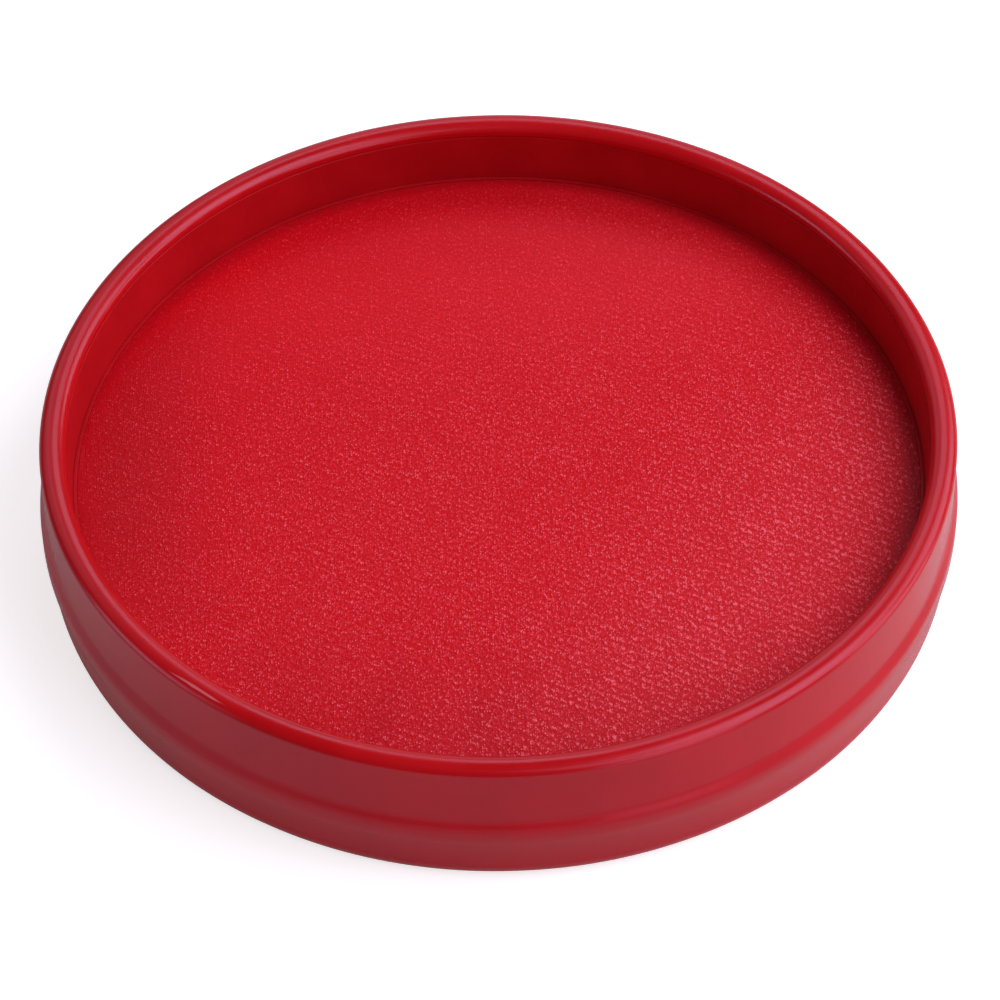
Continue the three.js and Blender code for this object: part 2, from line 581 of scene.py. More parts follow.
@dataclass(frozen=True)
class InkedCloth(Finish):
    """Plain woven cloth soaked with red ink, fine over the pad and coarse in the gauze.

    A Band gives two places in millimetres, or two other values, and what the effect is at each of them. The colour
    holds a painted sheen and painted highlights towards the lamps, and painted shade next to the tray wall, towards
    the back and in the puckers.
    """

    pitch: Point = (0.637, 0.74)
    slant: Point = (6.0, -28.0)
    tuft: Point = (5.2, 3.5)
    stray: float = 0.9
    fluff: float = 2.9
    depth: float = 0.045
    middle: float = 0.2
    # Top colour, pale and pink: a thin ink film with a painted sheen.
    high: Colour = (1.0, 0.05, 0.075, 1)
    # Top colour away from the lamps, without the painted sheen.
    top_away_from_lamps: Colour = (1.0, 0.012, 0.03, 1)
    low: Colour = (0.66, 0.003, 0.008, 1)
    # Painted highlight on the knuckle tops.
    glint: Colour = (1.0, 0.16, 0.2, 1)
    # Darker red, laid as painted shade next to the tray wall, towards the back and in the puckers, and darker towards
    # the left and front.
    soaked: Colour = (0.37, 0.0018, 0.006, 1)
    roughness: float = 0.45
    wet_roughness: float = 0.351
    index: float = 1.45
    gloss: float = 0.13
    # Way towards the lamps, along which the painted sheen and highlights grow.
    shine_way: Point = (0.8, -0.6)
    dry_way: Point = (0.1, -0.99)
    # Towards the lamps the rows stand taller and the grain stands out more; pale lays the painted sheen on the tops,
    # glinting the painted highlights and haze an even painted sheen.
    rows: Band = (5, 28, 0.4, 0.85)
    crisp: Band = (0, 28, 1.0, 1.35)
    dry: Band = (-24, -4, 0.45, 1.0)
    pale: Band = (-38, 2, 0, 1)
    lifted: Band = (-0.3, 1.1, 0, 1)
    glinting: Band = (-30, 30, 0.75, 1.05)
    haze: Band = (6, 30, 0, 0.05)
    matted: Band = (0, 0.8, 0.8, 1.2)
    # Ring next to the tray wall, with painted shade and less grain; then the cloth darker towards the left and front,
    # painted shadow towards the back and painted shade in the puckers.
    ring: Band = (34.4, 36.9, 0, 1)
    darker_left: Band = (-22, -38, 0, 0.7)
    darker_front: Band = (-14, -40, 0, 0.5)
    back_shadow: Band = (20, 40, 0, 0.45)
    pucker_shade: Band = (1.5, 0, 0, 0.5)
    ring_shade: float = 0.75
    darkening_share: float = 0.9
    pool_size: float = 7.0
    pool_share: float = 0.2
    puckers: tuple[Spot, ...] = (
        Spot((-10.0, -31.0, 0), (3.2, 9.0, 1), -8),
        Spot((-2.4, -31.5, 0), (3.0, 8.0, 1), -3),
    )

    def paint(self, sketch: Sketch) -> None:
        """Lays the ink over the weave: pale and pink on its tops, a thin ink film with a painted sheen, deep where it
        fills the grain.

        Args:
            sketch: The material's sketch.
        """
        chart = sketch.add("UVMap", uv_map=CUT_MAP).outputs[0]
        inputs = {"Vector": chart, "Location": (-CHART / 2, -CHART / 2, 0), "Scale": (CHART, CHART, CHART)}
        flat = sketch.add("Mapping", inputs).outputs[0]
        # Runs towards the lamps, for the painted sheen and highlights.
        gleam = sketch.vector("DOT_PRODUCT", flat, (*self.shine_way, 0))
        way = sketch.vector("DOT_PRODUCT", flat, (*self.dry_way, 0))
        ring = sketch.band(sketch.vector("LENGTH", flat), *self.ring)
        # Share of the darker red: painted shade next to the wall, towards the back and in the puckers, and darker
        # towards the left and front; it also makes the cloth slicker.
        wet = sketch.math("MAXIMUM", self._darkening(sketch, flat), sketch.times(ring, self.ring_shade))
        # The grain fades in the ring of painted shade next to the wall.
        sharp = sketch.times(sketch.band(way, *self.dry), sketch.times(ring, -0.5, 1.0))
        crisp = sketch.times(sharp, sketch.band(gleam, *self.crisp))
        grain = sketch.times(crisp, sketch.times(wet, -0.45, 1.0))
        counts = [sketch.vector("DOT_PRODUCT", flat, wave) for wave in self._waves()]
        inputs = {
            "Yarns": sketch.add("CombineXYZ", {0: counts[0], 1: counts[1]}).outputs[0],
            "Tufts": sketch.vector("MULTIPLY", flat, (*self.tuft, 1.0)),
            "Stray": self.stray,
            "Rows": sketch.band(gleam, *self.rows),
            "Fluff": self.fluff,
        }
        woven = sketch.group(weave(), inputs)
        height = sketch.math("SUBTRACT", woven["Height"], self.middle)
        lift = sketch.times(height, grain, self.middle)
        pools = sketch.patches(flat, self.pool_size, 4.0)
        # Painted sheen: the tops turn pale and pink towards the lamps.
        top = sketch.blend(sketch.band(gleam, *self.pale), self.top_away_from_lamps, self.high)
        red = sketch.blend(sketch.band(lift, *self.lifted), self.low, top)
        red = sketch.blend(sketch.times(pools, self.pool_share), red, self.low)
        # Lays the darker red: painted shade and darkening.
        red = sketch.blend(sketch.times(wet, self.darkening_share), red, self.soaked)
        # Painted highlights on the knuckle tops, with an even painted sheen, both growing towards the lamps.
        bright, haze = sketch.band(gleam, *self.glinting), sketch.band(gleam, *self.haze)
        shine = sketch.times(woven["Glint"], bright, haze)
        red = sketch.blend(sketch.times(shine, grain), red, self.glint)
        slick = sketch.band(wet, 0, 1, self.roughness, self.wet_roughness)
        rough = sketch.times(sketch.band(lift, *self.matted), slick)
        sketch.skin(red, rough, lift, self.depth, self.index, self.gloss)

    def _darkening(self, sketch: Sketch, flat: Socket) -> Socket:
        """How far the darker red is laid: more towards the left and front, as painted shadow towards the back, and as
        painted shade in the soft puckers.

        Args:
            sketch: The material's sketch.
            flat: Place on the cut cloth in millimetres.

        Returns:
            A share from 0 to 1.
        """
        parts = sketch.add("SeparateXYZ", {0: flat}).outputs
        side = sketch.band(parts[0], *self.darker_left)
        ends = sketch.math("ADD", sketch.band(parts[1], *self.darker_front), sketch.band(parts[1], *self.back_shadow))
        both = sketch.add("CombineXYZ", {0: side, 1: ends}).outputs[0]
        share = sketch.math("MINIMUM", sketch.vector("LENGTH", both), 1.0)
        # Painted shade in the soft puckers.
        for pucker in self.puckers:
            off = sketch.vector("LENGTH", pucker.local(sketch, flat))
            share = sketch.math("MAXIMUM", share, sketch.band(off, *self.pucker_shade))
        return share

    def _waves(self) -> list[Triple]:
        """Directions across and along the yarns.

        Returns:
            Both on the cut cloth, each as long as there are yarns to the millimetre.
        """
        first, second = (math.radians(angle) for angle in self.slant)
        across = (math.cos(first) / self.pitch[0], math.sin(first) / self.pitch[0], 0.0)
        along = (-math.sin(second) / self.pitch[1], math.cos(second) / self.pitch[1], 0.0)
        return [across, along]


@dataclass(frozen=True)
class SoakedFelt(Finish):
    """Pressed wool felt, soaked with ink."""

    name: str = "soaked_felt"
    high: Colour = (0.5, 0.006, 0.012, 1)
    low: Colour = (0.3, 0.002, 0.005, 1)
    tuft_size: float = 0.6
    tuft_depth: float = 0.15
    pool_size: float = 9.0
    pool_share: float = 0.4
    roughness: float = 0.8
    index: float = 1.4
    gloss: float = 0.3

    def paint(self, sketch: Sketch) -> None:
        """Lays the ink over the tufts, deeper where it pools.

        Args:
            sketch: The material's sketch.
        """
        place = sketch.place()
        tufts = sketch.patches(place, self.tuft_size, 6.0)
        pools = sketch.patches(place, self.pool_size, 3.0)
        red = sketch.blend(tufts, self.low, self.high)
        red = sketch.blend(sketch.times(pools, self.pool_share), red, self.low)
        sketch.skin(red, self.roughness, tufts, self.tuft_depth, self.index, self.gloss)


@dataclass
class Piece:
    """Piece of the ink pad, shaped at its place and then put on its body in place of its CAD node.

    Its crease is the angle between faces, in degrees, at which an edge stays sharp.
    """

    name: str
    body: Body
    slot: Slot
    node: str
    crease: float

    def shape(self) -> Thing:
        """Makes the mesh, as each kind of piece does in its own way."""
        raise NotImplementedError

    def declare(self, thing: Thing) -> None:
        """Does nothing; no piece fills it in."""

    def build(self, material: bpy.types.Material) -> None:
        """Shapes the piece, dresses it and puts it on its body.

        Args:
            material: Its finish.
        """
        thing = self.shape()
        pick(thing)
        bpy.ops.object.shade_smooth_by_angle(angle=math.radians(self.crease))
        thing.data.materials.clear()
        thing.data.materials.append(material)
        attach(thing, self.body.value)
        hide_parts(self.node)
        self.declare(thing)
        log.info("%s: %d faces, on %s", thing.name, len(thing.data.polygons), self.body.value)


@dataclass
class TurnedPiece(Piece):
    """Piece that is spun from half its section, or from a closed ring.

    Its swell is the depth and span of its unevenness in millimetres.
    """

    around: int = 256
    ring: bool = False
    swell: Point | None = None

    def section(self) -> list[Point]:
        """Radius and height of the section's corners, as each kind of piece gives them."""
        raise NotImplementedError

    def shape(self) -> Thing:
        """Draws the section vertex by vertex, spins it a full turn and makes it uneven.

        Returns:
            The piece, a closed solid with its faces outwards.
        """
        corners = self.section()
        path = [*corners, corners[0]] if self.ring else corners
        deselect_all()
        bpy.ops.mesh.primitive_plane_add(size=MM, location=(path[0][0] * MM, 0, path[0][1] * MM))
        thing = bpy.context.active_object
        thing.name = thing.data.name = self.name
        with editing(thing):
            bpy.ops.mesh.merge(type="CENTER")
            for here, there in zip(path, path[1:]):
                step = ((there[0] - here[0]) * MM, 0, (there[1] - here[1]) * MM)
                bpy.ops.mesh.extrude_region_move(TRANSFORM_OT_translate={"value": step})
            bpy.ops.mesh.select_all(action="SELECT")
            bpy.ops.mesh.remove_doubles(threshold=TINY)
        pick(thing)
        bpy.ops.object.transform_apply(location=True, rotation=True, scale=True)
        with editing(thing):
            bpy.ops.mesh.spin(steps=self.around, angle=math.tau, use_auto_merge=True, center=(0, 0, 0), axis=(0, 0, 1))
            bpy.ops.mesh.select_all(action="SELECT")
            bpy.ops.mesh.remove_doubles(threshold=TINY)
            bpy.ops.mesh.normals_make_consistent(inside=False)
        if self.swell:
            waver(thing, *self.swell)
        return thing


@dataclass
class EnamelTin(TurnedPiece):
    """Drawn tin dish with an inward-rolled rim and a lid-stop bead."""

    rim_radius: float = 40.0
    height: float = 14.0
    sheet: float = 0.3
    curl_width: float = 2.25
    curl_depth: float = 1.4
    curl_sweep: float = 285
    bead_foot: float = 4.8
    bead_step: float = 0.5
    bead_crest: float = 1.3
    bead_slope: float = 1.4
    bead_proud: float = 0.46
    foot_draw_in: float = 0.06
    foot_corner: float = 1.8
    rest_ring_width: float = 4.15
    panel_rise: float = 0.5
    panel_slope: float = 0.7

    def wall(self, inset: float) -> list[Point]:
        """Points up the beaded part of the wall.

        Args:
            inset: How far they lie inside the wall's outer face, in millimetres.

        Returns:
            Their radii and heights.
        """
        foot, crest = self.rim_radius - self.foot_draw_in, self.rim_radius + self.bead_proud
        step = [(ease(foot, crest, t), self.bead_foot + self.bead_step * t) for t in np.linspace(0, 1, 9)]
        start = self.bead_foot + self.bead_step + self.bead_crest
        slope = [(ease(crest, self.rim_radius, t), start + self.bead_slope * t) for t in np.linspace(0, 1, 15)]
        return [(radius - inset, z) for radius, z in step + slope]

    def section(self) -> list[Point]:
        """Half section of the sheet, from the axis under the floor round to the axis over it.

        Returns:
            Its corners.
        """
        foot = self.rim_radius - self.foot_draw_in - self.foot_corner
        panel_foot = foot - self.rest_ring_width
        panel = panel_foot - self.panel_slope
        curl = (self.rim_radius - self.curl_width / 2, self.height - self.curl_depth / 2)
        outer = (self.curl_width / 2, self.curl_depth / 2)
        inner = (outer[0] - self.sheet, outer[1] - self.sheet)
        corner, inner_corner = self.foot_corner, self.foot_corner - self.sheet
        return [
            (0, self.panel_rise),
            (panel, self.panel_rise),
            (panel_foot, 0),
            *arc((foot, corner), (corner, corner), -90, 0, 12),
            *self.wall(0),
            *arc(curl, outer, 0, self.curl_sweep, 57, squarer=True),
            *arc(curl, inner, self.curl_sweep, 0, 57, squarer=True),
            *self.wall(self.sheet)[::-1],
            *arc((foot, corner), (inner_corner, inner_corner), 0, -90, 8),
            (panel_foot, self.sheet),
            (panel, self.panel_rise + self.sheet),
            (0, self.panel_rise + self.sheet),
        ]


@dataclass
class InkTray(TurnedPiece):
    """Moulded cup under the roll of the rim, which keeps the ink off the tin."""

    well_radius: float = 37.75
    wall: float = 1.0
    base: float = 0.8
    floor: float = 1.7
    foot_radius: float = 38.14
    top: float = 12.78
    edge: float = 0.08
    draft: float = 0.28
    draft_head: float = 0.8
    draft_foot: float = 8.4
    draft_points: int = 14
    lip_top: float = 12.45
    lip_depth: float = 0.8
    lip_radius: float = 39.55
    lip_land: float = 0.75
    lip_bevel: float = 0.3

    def section(self) -> list[Point]:
        """Half section, from the axis under the floor, over the lip and down the drafted well.

        Returns:
            Its corners.
        """
        outside = self.well_radius + self.wall
        lip_foot = self.lip_top - self.lip_depth
        head = self.top - self.draft_head
        levels = np.linspace(head, self.floor + 1.0, self.draft_points)
        taper = [self.draft * min((head - z) / (head - self.draft_foot), 1.0) for z in levels]
        return [
            (0, self.base),
            (self.foot_radius, self.base),
            (outside, self.base + outside - self.foot_radius),
            (outside, lip_foot - (self.lip_radius - outside)),
            (self.lip_radius, lip_foot),
            (self.lip_radius, self.lip_top),
            (self.well_radius + self.lip_land, self.lip_top),
            (self.well_radius + self.lip_bevel, self.top - self.edge),
            *arc((self.well_radius + self.edge, self.top - self.edge), (self.edge, self.edge), 90, 180, 4),
            *[(self.well_radius - inset, z) for inset, z in zip(taper, levels)],
            (self.well_radius - self.draft, self.floor),
            (0, self.floor),
        ]


@dataclass
class PadBoard(TurnedPiece):
    """Stiff disc under the felt, with a boss that stands on the tray."""

    radius: float = 36.65
    boss_radius: float = 31.0
    boss_bottom: float = 1.7
    underside: float = 2.6
    top: float = 3.5
    round_off: float = 0.15

    def section(self) -> list[Point]:
        """Half section, from the axis under the boss round to the axis on top.

        Returns:
            Its corners.
        """
        c = self.round_off
        return [
            (0, self.boss_bottom),
            *arc((self.boss_radius - c, self.boss_bottom + c), (c, c), -90, 0, 4),
            *arc((self.boss_radius + c, self.underside - c), (c, c), 180, 90, 4),
            *arc((self.radius - c, self.underside + c), (c, c), -90, 0, 4),
            *arc((self.radius - c, self.top - c), (c, c), 0, 90, 4),
            (0, self.top),
        ]


@dataclass(frozen=True)
class Crown:
    """Low crown that the pad's layers share."""

    rise: float = 0.55
    power: float = 3
    radius: float = 37.06

    def at(self, r: np.ndarray) -> np.ndarray:
        """Rise over the edge at each radius, all in millimetres."""
        return self.rise * (1 - np.minimum(r / self.radius, 1) ** self.power)


@dataclass
class FeltBlock(TurnedPiece):
    """Thick felt disc that stores the ink, with a crowned top and soft edges."""

    crown: Crown = Crown()
    radius: float = 36.5
    bottom: float = 3.65
    edge: float = 6.75
    round_off: float = 0.6
    rings: int = 25
    fill: float = 0.95

    def section(self) -> list[Point]:
        """Half section, from the axis underneath round to the axis on the crown.

        Returns:
            Its corners.
        """
        corner = (self.round_off, self.round_off)
        flat = self.radius - self.round_off
        rings = np.linspace(0, flat, self.rings)
        top = [(r, self.edge + float(self.crown.at(r))) for r in rings]
        return [
            *[(r, self.bottom) for r in rings[::4]],
            *arc((flat, self.bottom + self.round_off), corner, -90, 0, 6)[1:],
            *arc((flat, top[-1][1] - self.round_off), corner, 0, 90, 6),
            *top[-2::-1],
        ]

    def declare(self, thing: Thing) -> None:
        """Does nothing for the felt."""


def crowned_sheet(name: str, radius: float, cells: int, edge: float, crown: Crown) -> Thing:
    """Makes a round sheet from a square grid, drawn round so that no face is pinched, and gives it the crown.

    The grid stands on one corner, so that a cloth on it gives most at the front.

    Args:
        name: Name of the new object.
        radius: Its radius in millimetres.
        cells: Faces along each side of the grid.
        edge: Height of its edge in millimetres.
        crown: The crown.

    Returns:
        The sheet.
    """
    deselect_all()
    bpy.ops.mesh.primitive_grid_add(x_subdivisions=cells, y_subdivisions=cells, size=2)
    sheet = bpy.context.active_object
    sheet.name = sheet.data.name = name
    spots = read_points(sheet)
    x, y = spots[:, 0].copy(), spots[:, 1].copy()
    wide, deep = x * np.sqrt(1 - y * y / 2), y * np.sqrt(1 - x * x / 2)
    spots[:, 0] = (wide - deep) * math.sqrt(0.5) * radius * MM
    spots[:, 1] = (wide + deep) * math.sqrt(0.5) * radius * MM
    write_points(sheet, spots)
    spots = read_points(sheet)
    spots[:, 2] = (edge + crown.at(np.hypot(spots[:, 0], spots[:, 1]) / MM)) * MM
    write_points(sheet, spots)
    return sheet


def chart_cut(sheet: Thing, run: np.ndarray) -> None:
    """Lays a sheet out flat, as it was cut, in a UV map whose unit is CHART millimetres.

    Args:
        sheet: The sheet, before it gets its thickness.
        run: Distance of each vertex from the middle along the cloth, in millimetres.
    """
    spots = read_points(sheet)
    angle = np.arctan2(spots[:, 1], spots[:, 0])
    flat = np.stack([run * np.cos(angle), run * np.sin(angle)], 1) / CHART + 0.5
    chart = sheet.data.uv_layers.get("UVMap") or sheet.data.uv_layers.new(name="UVMap")
    chart.name = CUT_MAP
    corners = np.zeros(len(sheet.data.loops), np.int32)
    sheet.data.loops.foreach_get("vertex_index", corners)
    chart.data.foreach_set("uv", flat[corners].astype(np.float32).ravel())


def thicken(sheet: Thing, thickness: float) -> None:
    """Gives an open sheet its thickness, on its inner side.

    Args:
        sheet: The sheet.
        thickness: The thickness in millimetres.
    """
    modifier = sheet.modifiers.new("thickness", "SOLIDIFY")
    modifier.thickness = thickness * MM
    modifier.offset = -1
    apply_modifiers(sheet)


@dataclass
class GauzeSheet(Piece):
    """Thin open layer that spreads the ink between the felt and the cloth."""

    crown: Crown = Crown()
    radius: float = 36.6
    top: float = 7.5
    thickness: float = 0.5
    cells: int = 72

    def shape(self) -> Thing:
        """Lays the gauze over the felt.

        Returns:
            The gauze.
        """
        sheet = crowned_sheet(self.name, self.radius, self.cells, self.top, self.crown)
        spots = read_points(sheet)
        chart_cut(sheet, np.hypot(spots[:, 0], spots[:, 1]) / MM)
        thicken(sheet, self.thickness)
        return sheet

    def declare(self, thing: Thing) -> None:
        """Does nothing for the gauze."""


@dataclass
class PadCloth(Piece):
    """Cloth drawn over the felt, down its side and under the board.

    It is simulated grown to many times its size, with a share of spare width that starts part of the way out
    and grows towards the edge, most at the front. Its movement is then kept in part, within its sink and rise.
    """

    crown: Crown = Crown()
    radius: float = 37.22
    edge: float = 7.95
    shoulder: float = 0.16
    thickness: float = 0.35
    hem_bottom: float = 2.15
    hem_width: float = 4.78
    hem_bend: float = 1.4
    shoulder_run: float = 0.3
    cells: int = 112
    seed: int = 7
    frames: int = 20
    free: float = 0.999
    jitter: float = 0.006
    grown: float = 10.0
    spare: float = 0.004
    slack_start: float = 0.66
    slack_reach: float = 0.3
    slack_power: float = 1.5
    slack_back: float = 0.12
    slack_front: float = 0.88
    eased: int = 4
    kept: float = 0.6
    sink: float = 0.08
    rise: float = 0.2

    def shape(self) -> Thing:
        """Draws the cloth over the pad.

        Returns:
            The cloth.
        """
        cover = crowned_sheet(self.name, self.crown.radius, self.cells, self.edge, self.crown)
        self._draw_tight(cover)
        self._turn_down(cover)
        self._chart(cover)
        thicken(cover, self.thickness)
        return cover

    def declare(self, thing: Thing) -> None:
        """Does nothing for the cloth."""

    def cut_radius(self) -> float:
        """Adds up the cloth over the top, down the side and under the board.

        Returns:
            Radius of the disc that it is cut to, in millimetres.
        """
        side = self.edge - self.shoulder - self.hem_bottom - self.thickness
        bends = self.shoulder * math.pi / 2 + self.hem_bend * self.thickness
        return self.crown.radius + bends + side + self.hem_width - self.thickness

    def _draw_tight(self, cover: Thing) -> None:
        """Simulates the cloth with spare width towards its edge, so that soft puckers form at the front.

        Args:
            cover: The cloth's top, whose edge stays where it is.
        """
        drawn = read_points(cover)
        r = np.hypot(drawn[:, 0], drawn[:, 1]) / (self.crown.radius * MM)
        inner = r < self.free
        loose = drawn.copy()
        chance = np.random.default_rng(self.seed)
        loose[inner, 2] += chance.normal(0, self.jitter, int(inner.sum())) * MM
        write_points(cover, loose * self.grown)
        weigh(cover, "held", (~inner).astype(float))
        front = 0.5 - 0.5 * drawn[:, 1] / (np.maximum(r, TINY) * self.crown.radius * MM)
        outward = np.clip((r - self.slack_start) / self.slack_reach, 0, 1) ** self.slack_power
        weigh(cover, "taut", 1 - outward * (self.slack_back + self.slack_front * front**2))
        self._simulate(cover)
        with editing(cover):
            bpy.ops.mesh.vertices_smooth(factor=0.5, repeat=self.eased)
        moved = (read_points(cover) / self.grown - drawn) * self.kept
        log.info("%s: moved %.3f to %.3f mm", self.name, moved[:, 2].min() / MM, moved[:, 2].max() / MM)
        moved[:, :2] = np.clip(moved[:, :2], -self.sink * MM, self.sink * MM)
        moved[:, 2] = np.clip(moved[:, 2], -self.sink * MM, self.rise * MM)
        moved[~inner] = 0
        write_points(cover, drawn + moved)
        cover.vertex_groups.clear()

    def _simulate(self, cover: Thing) -> None:
        """Runs Blender's cloth on the cover, pressed lightly from below, and applies it.

        Args:
            cover: The cloth's top, with its vertex groups.
        """
        modifier = cover.modifiers.new("drawn", "CLOTH")
        cloth = modifier.settings
        settings = {
            "quality": 6,
            "mass": 0.1,
            "tension_stiffness": 60,
            "compression_stiffness": 60,
            "shear_stiffness": 30,
            "bending_stiffness": 0.3,
            "use_pressure": True,
            "uniform_pressure_force": 0.12,
            "vertex_group_mass": "held",
            "vertex_group_shrink": "taut",
            "shrink_min": -self.spare,
            "shrink_max": 0.0,
        }
        for name, value in settings.items():
            setattr(cloth, name, value)
        cloth.effector_weights.gravity = 0
        modifier.point_cache.frame_start, modifier.point_cache.frame_end = 1, self.frames
        for number in range(1, self.frames + 1):
            bpy.context.scene.frame_set(number)
        apply_modifiers(cover)
        bpy.context.scene.frame_set(1)

    def _turn_down(self, cover: Thing) -> None:
        """Extrudes the edge of the disc down the side and in under the board.

        Args:
            cover: The cloth.
        """
        low, start = self.hem_bottom, self.crown.radius
        line = arc((start, self.edge - self.shoulder), (self.shoulder, self.shoulder), 90, 0, 6)
        line += [(self.radius, z) for z in np.linspace(self.edge - self.shoulder, low + self.thickness, 8)[1:]]
        line += [(self.radius - self.thickness, low)]
        line += [(self.radius - d, low) for d in np.linspace(self.thickness, self.hem_width, 7)[1:]]
        with editing(cover):
            bpy.ops.mesh.select_all(action="DESELECT")
            bpy.ops.mesh.select_mode(type="EDGE")
            bpy.ops.mesh.select_non_manifold()
            for (r0, z0), (r1, z1) in zip(line, line[1:]):
                bpy.ops.mesh.extrude_region_move(TRANSFORM_OT_translate={"value": (0, 0, (z1 - z0) * MM)})
                bpy.ops.transform.resize(value=(r1 / r0, r1 / r0, 1), center_override=(0, 0, z1 * MM))
            bpy.ops.mesh.select_mode(type="VERT")
            bpy.ops.mesh.select_all(action="SELECT")
            bpy.ops.mesh.normals_make_consistent(inside=False)

    def _chart(self, cover: Thing) -> None:
        """Charts the cloth by its distance over the top, down the side and under.

        Args:
            cover: The cloth.
        """
        spots = read_points(cover)
        r, z = np.hypot(spots[:, 0], spots[:, 1]) / MM, spots[:, 2] / MM
        top = self.crown.radius
        # Margins of a few hundredths of a millimetre tell the top, the side and the hem apart.
        down = np.where(r > top + 0.01, np.maximum(self.edge - z, 0) + self.shoulder_run * (r - top), 0)
        under = np.where(z < self.hem_bottom + 0.02, self.radius - r, 0)
        chart_cut(cover, np.where(r < top, r, top) + down + under)


@dataclass
class Hoop(TurnedPiece):
    """Thin band pressed round the pad, whose foot traps the cloth's hem."""

    radius: float = 37.455
    wall: float = 0.2
    edge: float = 0.015
    lip: float = 0.32
    lip_depth: float = 0.09
    lip_edge: float = 0.04
    bottom: float = 1.7
    top: float = 8.05
    foot: float = 0.35
    foot_width: float = 3.1

    def section(self) -> list[Point]:
        """Whole section of the band, with its foot and its turned-in lip.

        Returns:
            Its corners.
        """
        inside, inmost = self.radius - self.wall, self.radius - self.lip
        edge, lip_edge = (self.edge, self.edge), (self.lip_edge, self.lip_edge)
        return [
            (self.radius - self.foot_width, self.bottom),
            (self.radius, self.bottom),
            *arc((self.radius - self.edge, self.top - self.edge), edge, 0, 90, 5),
            *arc((inmost + self.lip_edge, self.top - self.lip_edge), lip_edge, 90, 180, 5),
            (inmost, self.top - self.lip_depth),
            (inside, self.top - self.lip_depth),
            (inside, self.bottom + self.foot),
            (self.radius - self.foot_width, self.bottom + self.foot),
        ]


@dataclass(frozen=True)
class Softbox:
    """One square softbox of the studio's dome, aimed at the tin. Its size and distance are in metres."""

    name: str
    azimuth: float
    elevation: float
    brightness: float
    size: float = 0.4
    distance: float = 0.8
    colour: Triple = (1.0, 0.95, 1.08)

    def hang(self) -> None:
        """Adds the lamp, at its angle to the right of straight behind and its angle above the table."""
        lamp = bpy.data.lights.new(self.name, "AREA")
        lamp.shape = "SQUARE"
        lamp.size = self.size
        lamp.energy = self.brightness * math.pi * self.size**2
        lamp.color = self.colour
        around, up = math.radians(self.azimuth), math.radians(self.elevation)
        aim = Vector((math.sin(around) * math.cos(up), math.cos(around) * math.cos(up), math.sin(up)))
        thing = bpy.data.objects.new(self.name, lamp)
        thing.location = aim * self.distance
        thing.rotation_euler = aim.to_track_quat("Z", "Y").to_euler()
        bpy.context.scene.collection.objects.link(thing)


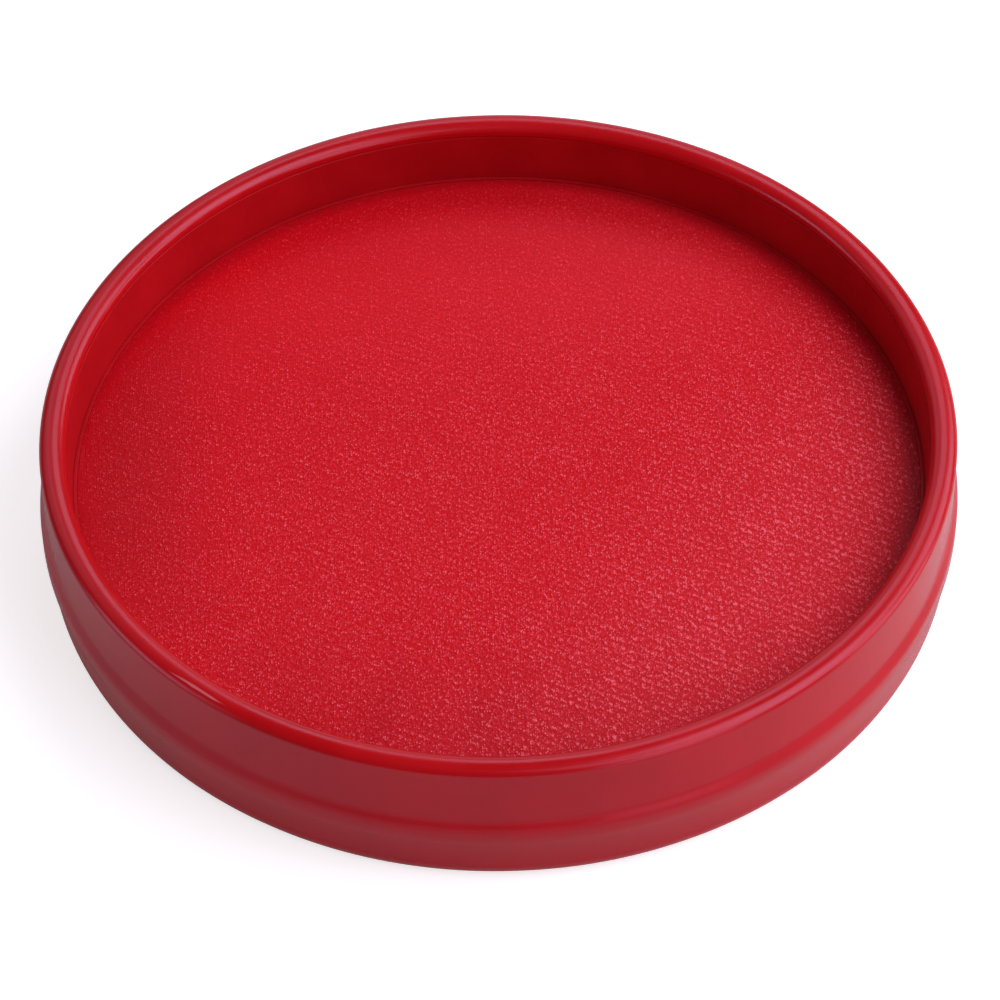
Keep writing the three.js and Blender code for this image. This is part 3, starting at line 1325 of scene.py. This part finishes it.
@dataclass(frozen=True)
class Studio:
    """Pale floor, dim room, softboxes and camera.

    Lengths are in metres and angles in degrees, and the focal length and the ring's middle are in pixels.
    """

    lamps: tuple[Softbox, ...] = (
        Softbox("right_back", 9, 43, 2.0, 0.28),
        Softbox("right", 55, 35, 2.7),
        Softbox("right_front", 98, 38, 2.7),
        Softbox("front_right", 134, 38, 2.0),
        Softbox("right_high", 88, 62, 3.2),
        Softbox("front_high", 140, 58, 1.1),
        Softbox("right_low", 88, 9, 2.6),
        Softbox("front_low", 145, 12, 1.6),
        Softbox("back", 342, 38, 0.5),
        Softbox("back_low", 0, 12, 0.5),
        Softbox("back_left", 316, 38, 0.5),
        Softbox("left", 262, 19, 2.2),
    )
    floor_size: float = 6
    floor_depth: float = 0.00002
    floor_tone: float = 0.7
    floor_gloss: float = 0.1
    air_gloss: float = 0.06
    air_light: float = 0.03
    elevation: float = 46.956
    roll: float = -0.783
    distance: float = 0.4
    focal: float = 4581.5
    frame_size: float = 1000
    ring_pixel: Point = (497.957, 425.269)
    ring_height: float = 0.0133
    sensor: float = 36.0

    def set_up(self) -> None:
        """Builds everything round the object."""
        self._lay_floor()
        self._fill_room()
        for lamp in self.lamps:
            lamp.hang()
        self._place_camera()
        bpy.context.scene.view_settings.view_transform = "Standard"

    def _lay_floor(self) -> None:
        """Lays a pale floor that shows white and keeps the object's shadow."""
        deselect_all()
        bpy.ops.mesh.primitive_plane_add(size=self.floor_size, location=(0, 0, -self.floor_depth))
        floor = bpy.context.active_object
        floor.name = "floor"
        material = bpy.data.materials.new("pale_floor")
        material.use_nodes = True
        sketch = Sketch(material.node_tree)
        seen, mirrored = sketch.rays()
        glow = sketch.math("MAXIMUM", sketch.times(seen, self.floor_tone), sketch.times(mirrored, self.floor_gloss))
        paper = sketch.add("BsdfDiffuse", {"Color": (self.floor_tone, self.floor_tone, self.floor_tone, 1)})
        light = sketch.add("Emission", {"Color": (1, 1, 1, 1), "Strength": glow})
        both = sketch.add("AddShader", {0: paper.outputs[0], 1: light.outputs[0]})
        sketch.add("OutputMaterial", {"Surface": both.outputs[0]})
        floor.data.materials.append(material)

    def _fill_room(self) -> None:
        """Sets the room: white where it is seen, and dim in reflections and as light."""
        world = bpy.data.worlds.new("room")
        world.use_nodes = True
        sketch = Sketch(world.node_tree)
        seen, mirrored = sketch.rays()
        dim = sketch.times(mirrored, self.air_gloss, self.air_light)
        air = sketch.add("Background", {"Color": (1, 1, 1, 1), "Strength": sketch.math("MAXIMUM", seen, dim)})
        sketch.add("OutputWorld", {"Surface": air.outputs[0]})
        bpy.context.scene.world = world

    def _place_camera(self) -> None:
        """Puts the camera where the photograph was taken from."""
        tilt, roll = math.radians(self.elevation), math.radians(self.roll)
        right = Vector((1, 0, 0))
        ahead = Vector((0, math.cos(tilt), -math.sin(tilt)))
        down = Vector((0, -math.sin(tilt), -math.cos(tilt)))
        across = math.cos(roll) * right - math.sin(roll) * down
        below = math.sin(roll) * right + math.cos(roll) * down
        off_x, off_y = ((pixel - self.frame_size / 2) / self.focal * self.distance for pixel in self.ring_pixel)
        ring = Vector((0, 0, self.ring_height))
        eye = ring - across * off_x - below * off_y - ahead * self.distance
        lens = bpy.data.cameras.new("camera")
        lens.sensor_width = self.sensor
        lens.lens = self.focal / self.frame_size * self.sensor
        lens.clip_start, lens.clip_end = 0.01, 20
        camera = bpy.data.objects.new("camera", lens)
        axes = Matrix((across, -below, -ahead)).transposed().to_4x4()
        camera.matrix_world = Matrix.Translation(eye) @ axes
        bpy.context.scene.collection.objects.link(camera)
        bpy.context.scene.camera = camera


def main() -> None:
    """Sets up the studio, then builds and dresses the pieces in order."""
    logging.basicConfig(level=logging.INFO, format="%(name)s %(message)s")
    Studio().set_up()
    tin, pad = Body.TIN, Body.PAD
    natural = MouldedPlastic("board_natural", (0.55, 0.42, 0.36, 1), (0.5, 0.2, 0.18, 1), 0.6)
    gauze = InkedCloth("soaked_gauze", (1.6, 1.6), (0.0, 0.0), stray=0.1, depth=0.2, puckers=())
    dressed: list[tuple[Piece, Finish]] = [
        (EnamelTin("enamel_tin", tin, Slot.ENAMEL, "base_shell", 35, swell=(0.02, 11.0)), Enamel()),
        (InkTray("tray_cup", tin, Slot.TRAY, "ink_tray", 35), MouldedPlastic("tray_red")),
        (PadBoard("board_disc", pad, Slot.BOARD, "pad_board", 35, 192), natural),
        (FeltBlock("felt_block", pad, Slot.FELT, "reservoir_felt", 50, 192, swell=(0.04, 1.6)), SoakedFelt()),
        (GauzeSheet("gauze_sheet", pad, Slot.GAUZE, "gauze_layer", 60), gauze),
        (PadCloth("pad_cloth", pad, Slot.CLOTH, "ink_cloth", 60), InkedCloth("soaked_cloth")),
        (Hoop("hoop_band", pad, Slot.HOOP, "cloth_hoop", 50, ring=True), MouldedPlastic("hoop_red", roughness=0.4)),
    ]
    for piece, finish in dressed:
        piece.build(finish.make())


if __name__ == "__main__":
    main()
